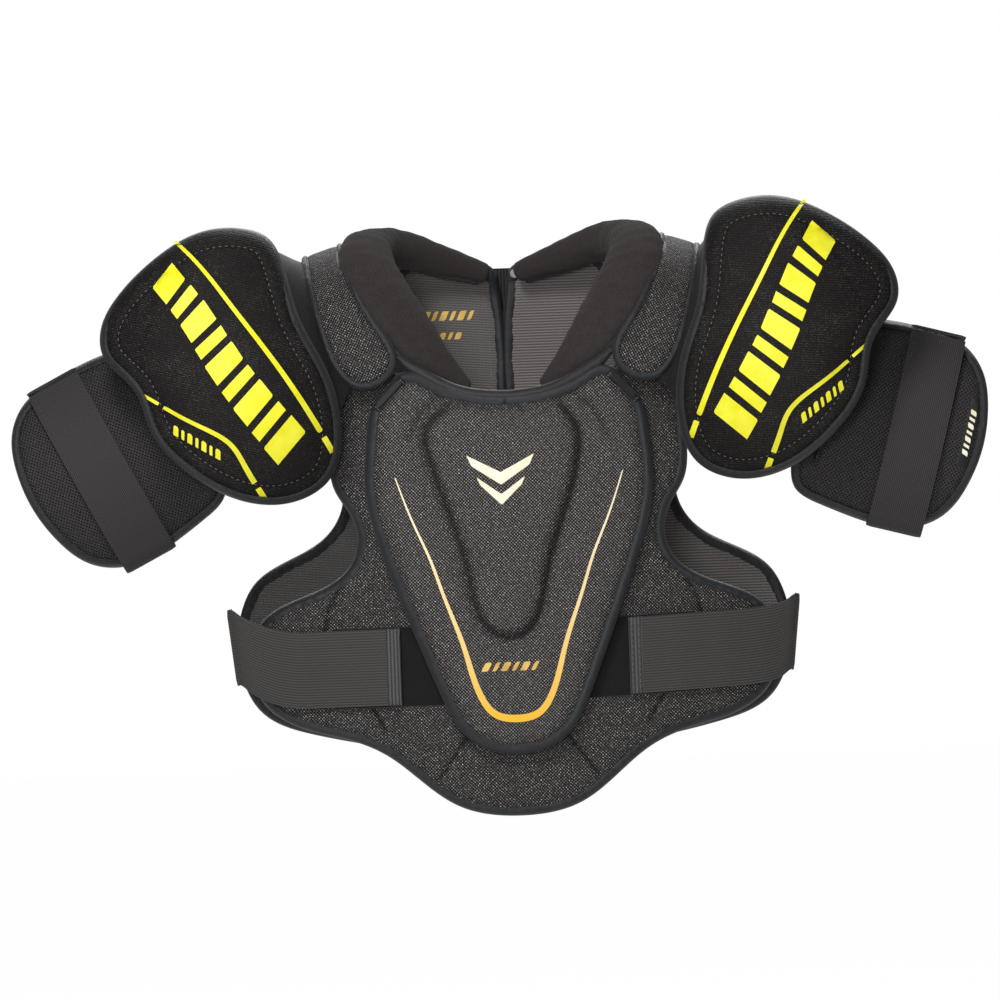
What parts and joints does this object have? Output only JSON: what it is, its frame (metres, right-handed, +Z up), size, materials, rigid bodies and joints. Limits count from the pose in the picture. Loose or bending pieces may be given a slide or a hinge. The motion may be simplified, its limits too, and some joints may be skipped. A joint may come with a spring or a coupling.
{
  "type": "hockey shoulder pads",
  "caption": "Padded ice-hockey shoulder pads: chest and back pads, floating sternum guard, domed shoulder caps, bicep guards, fleece collar and elastic straps.",
  "frame": {"origin": "on the mid-plane, midway between chest and back, where the yokes rest on the shoulders", "axes": "+Z up as worn, the chest faces -Y, the wearer's left arm is at +X"},
  "size_m": [0.6661, 0.234, 0.4161],
  "materials": {
    "mesh": "coarse woven air-mesh, flecked",
    "cap_knit": "fine black knit, flecked",
    "binding": "smooth folded edge tape",
    "fleece": "brushed tricot",
    "liner": "plain knit lining",
    "elastic": "ribbed woven elastic",
    "hook_loop": "hook-and-loop pile",
    "foam": "closed-cell foam",
    "stiffener": "moulded polyethylene",
    "snap_metal": "bright nickel",
    "print_yellow": "raised printed ink",
    "print_gold": "raised printed ink",
    "print_cream": "raised printed ink",
    "thread": "sewing thread"
  },
  "bodies": {
    "harness": {"spine_gusset": "elastic", "back_snap": "snap_metal", "left_back_foam": "foam", "left_back_cover": "mesh", "left_back_liner": "liner", "left_back_binding": "binding", "left_yoke_foam": "foam", "left_yoke_cover": "mesh", "left_yoke_binding": "binding", "left_collar_roll": "fleece", "left_collar_rear_pad": "fleece", "left_waist_side_strap": "elastic", "right_back_foam": "foam", "right_back_cover": "mesh", "right_back_liner": "liner", "right_back_binding": "binding", "right_yoke_foam": "foam", "right_yoke_cover": "mesh", "right_yoke_binding": "binding", "right_collar_roll": "fleece", "right_collar_rear_pad": "fleece", "right_waist_side_strap": "elastic"},
    "chest": {"chest_foam": "foam", "chest_cover": "mesh", "chest_binding": "binding", "waist_loop_patches": "hook_loop"},
    "shield": {"shield_foam": "foam", "sternum_plate": "stiffener", "sternum_boss": "foam", "shield_cover": "mesh", "shield_binding": "binding", "shield_corner_tabs": "binding"},
    "left_cap": {"left_cap_foam": "foam", "left_cap_shell": "stiffener", "left_cap_cover": "cap_knit", "left_cap_binding": "binding"},
    "left_guard": {"left_guard_foam": "foam", "left_guard_plate": "stiffener", "left_guard_cover": "mesh", "left_guard_binding": "binding", "left_arm_loop": "elastic"},
    "left_arm_strap": {"left_arm_strap": "elastic", "left_arm_hook": "hook_loop"},
    "left_waist_strap": {"left_waist_strap": "elastic", "left_waist_hook": "hook_loop"},
    "right_cap": {"right_cap_foam": "foam", "right_cap_shell": "stiffener", "right_cap_cover": "cap_knit", "right_cap_binding": "binding"},
    "right_guard": {"right_guard_foam": "foam", "right_guard_plate": "stiffener", "right_guard_cover": "mesh", "right_guard_binding": "binding", "right_arm_loop": "elastic"},
    "right_arm_strap": {"right_arm_strap": "elastic", "right_arm_hook": "hook_loop"},
    "right_waist_strap": {"right_waist_strap": "elastic", "right_waist_hook": "hook_loop"}
  },
  "joints": [
    {"name": "chest_fold", "type": "hinge", "parent": "harness", "child": "chest", "pos_m": [0, -0.082, -0.084], "axis": [1, 0, 0], "range_deg": [0, 12]},
    {"name": "shield_lift", "type": "hinge", "parent": "chest", "child": "shield", "pos_m": [0, -0.0883, -0.079], "axis": [-1, 0, 0], "range_deg": [0, 20]},
    {"name": "left_cap_raise", "type": "hinge", "parent": "harness", "child": "left_cap", "pos_m": [0.1296, 0, -0.045], "axis": [0, -1, 0], "range_deg": [-10, 45]},
    {"name": "left_guard_swing", "type": "hinge", "parent": "left_cap", "child": "left_guard", "pos_m": [0.2047, 0, -0.1125], "axis": [0, -1, 0], "range_deg": [-10, 30]},
    {"name": "left_arm_strap_open", "type": "hinge", "parent": "left_guard", "child": "left_arm_strap", "pos_m": [0.25293, -0.054, -0.20346], "axis": [0.9664, 0, -0.2571], "range_deg": [0, 100]},
    {"name": "left_waist_strap_open", "type": "hinge", "parent": "harness", "child": "left_waist_strap", "pos_m": [0.1915, -0.048, -0.264], "axis": [0, 0, 1], "range_deg": [0, 110]},
    {"name": "right_cap_raise", "type": "hinge", "parent": "harness", "child": "right_cap", "pos_m": [-0.135, 0, -0.048], "axis": [0, 1, 0], "range_deg": [-10, 45]},
    {"name": "right_guard_swing", "type": "hinge", "parent": "right_cap", "child": "right_guard", "pos_m": [-0.2159, 0, -0.1077], "axis": [0, 1, 0], "range_deg": [-10, 30]},
    {"name": "right_arm_strap_open", "type": "hinge", "parent": "right_guard", "child": "right_arm_strap", "pos_m": [-0.2433, -0.054, -0.20694], "axis": [0.8878, 0, 0.4602], "range_deg": [0, 100]},
    {"name": "right_waist_strap_open", "type": "hinge", "parent": "harness", "child": "right_waist_strap", "pos_m": [-0.1915, -0.048, -0.264], "axis": [0, 0, -1], "range_deg": [0, 110]}
  ]
}
